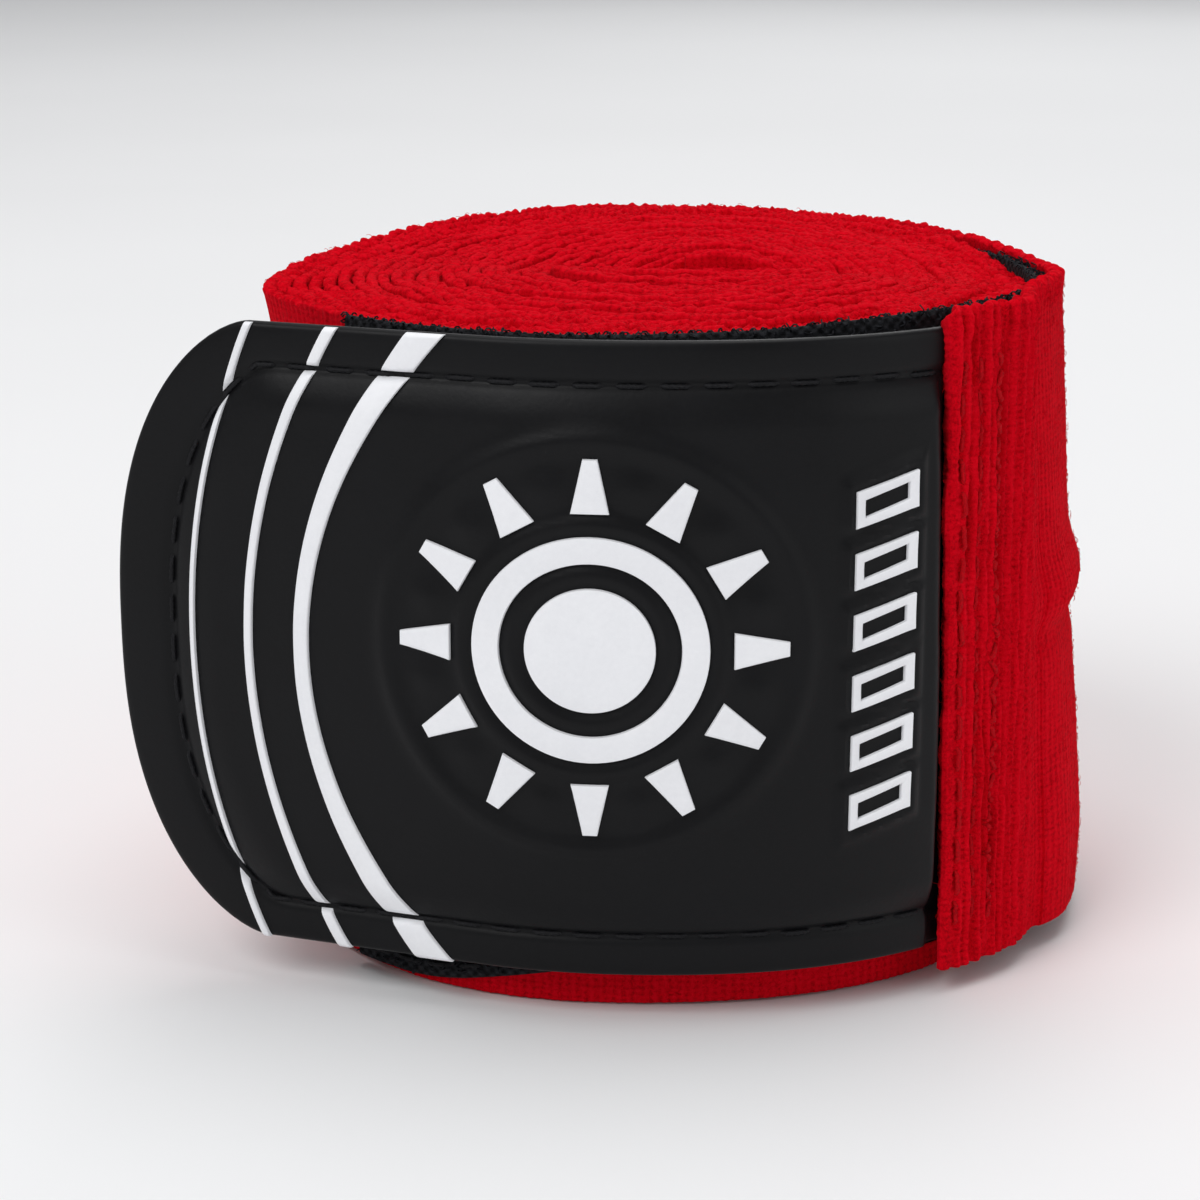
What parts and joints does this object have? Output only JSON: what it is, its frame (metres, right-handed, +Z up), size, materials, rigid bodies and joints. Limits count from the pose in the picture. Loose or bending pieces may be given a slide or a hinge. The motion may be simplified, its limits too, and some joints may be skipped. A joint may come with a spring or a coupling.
{
  "type": "hand wrap",
  "caption": "Boxing hand wrap wound into a roll: cotton band, soft loop tape and a moulded hook-and-loop tab that peels off and unwinds.",
  "frame": {"origin": "on the roll's axis, at the bottom face that the roll stands on", "axes": "+Z up along the roll's axis; the tab faces -Y and its free end points to -X"},
  "size_m": [0.0702, 0.0609, 0.0516],
  "materials": {
    "red_cotton": "fine ribbed semi-elastic cotton, matt and slightly fuzzy",
    "red_webbing": "plain woven webbing, matt",
    "red_thread": "spun sewing thread",
    "loop_pile": "soft brushed loop pile on a woven tape",
    "hook_pile": "fine stiff plastic hooks on a woven tape",
    "black_thread": "waxed sewing thread",
    "black_skin": "soft satin moulded polyurethane with a fine grain",
    "foam": "closed-cell foam",
    "white_mark": "raised satin white moulding"
  },
  "bodies": {
    "roll": {"wound_band": "red_cotton", "thumb_loop": "red_webbing", "thumb_loop_stitching": "red_thread", "loop_tape": "loop_pile", "loop_tape_stitching": "black_thread", "last_turn_back": "red_cotton"},
    "band_side": {"last_turn_side": "red_cotton"},
    "tab": {"hem_fold": "red_cotton", "hem_stitching": "red_thread", "tab_cover": "black_skin", "tab_foam": "foam", "hook_tape": "hook_pile", "edge_stitching": "black_thread", "stripe_thin": "white_mark", "stripe_medium": "white_mark", "stripe_wide": "white_mark", "emblem": "white_mark", "bar_marks": "white_mark"}
  },
  "joints": [
    {"name": "side_unwind", "type": "hinge", "parent": "roll", "child": "band_side", "pos_m": [0.02635, 0.01751, 0.025], "axis": [0, 0, 1], "range_deg": [0, 75]},
    {"name": "tab_peel", "type": "hinge", "parent": "band_side", "child": "tab", "pos_m": [0.02902, -0.01258, 0.025], "axis": [0, 0, 1], "range_deg": [0, 120]}
  ]
}
